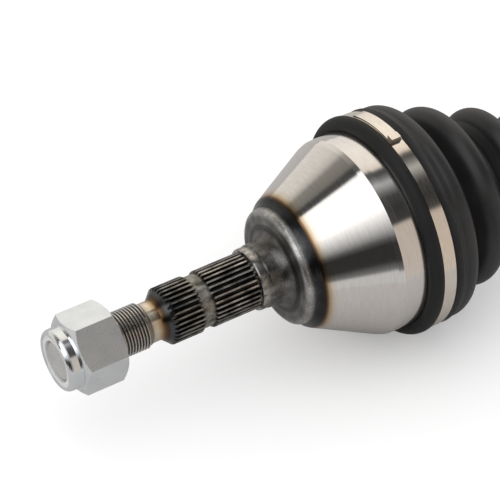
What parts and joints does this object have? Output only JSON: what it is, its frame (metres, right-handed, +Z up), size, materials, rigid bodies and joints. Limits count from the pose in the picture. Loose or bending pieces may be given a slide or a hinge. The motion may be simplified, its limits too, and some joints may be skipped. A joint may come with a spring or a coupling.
{
  "type": "drive shaft",
  "caption": "Front half shaft with a splined wheel stub and ball joint, a bar, a plunging tripod joint, rubber boots and band clamps.",
  "frame": {"origin": "on the axis in the middle of the bar, halfway between the two joint centres", "axes": "+X from the wheel nut to the gearbox end, +Z up; the wheel stub points along -X"},
  "size_m": [0.6839, 0.1104, 0.1116],
  "materials": {
    "turned_steel": "turned to a near mirror on the bell, black forged skin on the neck",
    "zinc": "bright zinc plate",
    "nylon": "natural nylon",
    "ground_steel": "ground and hardened",
    "ball_steel": "polished",
    "spring_steel": "phosphated spring steel",
    "boot_rubber": "satin black",
    "band_steel": "bright stainless band",
    "forged_steel": "black painted",
    "housing_steel": "forged, turned where it seals"
  },
  "bodies": {
    "bar": {"axle_bar": "forged_steel", "inner_race": "ground_steel", "race_circlip": "spring_steel", "spider": "ground_steel", "spider_circlip": "spring_steel", "roller_retainers": "spring_steel", "outer_small_clamp": "band_steel", "inner_small_clamp": "band_steel"},
    "low_ball": {"ball_low": "ball_steel"},
    "cage": {"outer_cage": "ground_steel", "side_balls": "ball_steel"},
    "high_ball": {"ball_high": "ball_steel"},
    "bell": {"outer_housing": "turned_steel", "hub_nut": "zinc", "nut_insert": "nylon", "outer_boot": "boot_rubber", "outer_large_clamp": "band_steel"},
    "first_roller": {"roller_1": "ball_steel", "needles_1": "ball_steel"},
    "second_roller": {"roller_2": "ball_steel", "needles_2": "ball_steel"},
    "third_roller": {"roller_3": "ball_steel", "needles_3": "ball_steel"},
    "tripod_housing": {"inner_housing": "housing_steel", "housing_stop_ring": "spring_steel", "inner_boot": "boot_rubber", "inner_large_clamp": "band_steel", "gearbox_snap_ring": "spring_steel"}
  },
  "joints": [
    {"name": "outer_lift", "type": "hinge", "parent": "bar", "child": "low_ball", "pos_m": [-0.2, 0, 0], "axis": [0, 1, 0], "range_deg": [-10, 10], "deforming": ["outer_boot"]},
    {"name": "outer_steer", "type": "hinge", "parent": "low_ball", "child": "cage", "pos_m": [-0.2, 0, 0], "axis": [0, 0, 1], "range_deg": [-20, 20], "deforming": ["outer_boot"]},
    {"name": "outer_steer_second_half", "type": "hinge", "parent": "cage", "child": "high_ball", "pos_m": [-0.2, 0, 0], "axis": [0, 0, 1], "range_deg": [-20, 20]},
    {"name": "outer_lift_second_half", "type": "hinge", "parent": "high_ball", "child": "bell", "pos_m": [-0.2, 0, 0], "axis": [0, 1, 0], "range_deg": [-10, 10]},
    {"name": "inner_lift", "type": "hinge", "parent": "bar", "child": "first_roller", "pos_m": [0.2, 0, 0], "axis": [0, 1, 0], "range_deg": [-14, 14], "deforming": ["inner_boot"]},
    {"name": "inner_plunge", "type": "slide", "parent": "first_roller", "child": "tripod_housing", "axis": [1, 0, 0], "range_m": [-0.018, 0.018], "deforming": ["inner_boot"]},
    {"name": "second_roller_spin", "type": "hinge", "parent": "bar", "child": "second_roller", "pos_m": [0.2, 0, 0], "axis": [0, -0.5, 0.866], "continuous": true},
    {"name": "third_roller_spin", "type": "hinge", "parent": "bar", "child": "third_roller", "pos_m": [0.2, 0, 0], "axis": [0, -0.5, -0.866], "continuous": true}
  ],
  "couplings": [
    {"joint": "outer_steer_second_half", "follows": "outer_steer", "ratio": 1},
    {"joint": "outer_lift_second_half", "follows": "outer_lift", "ratio": 1}
  ]
}
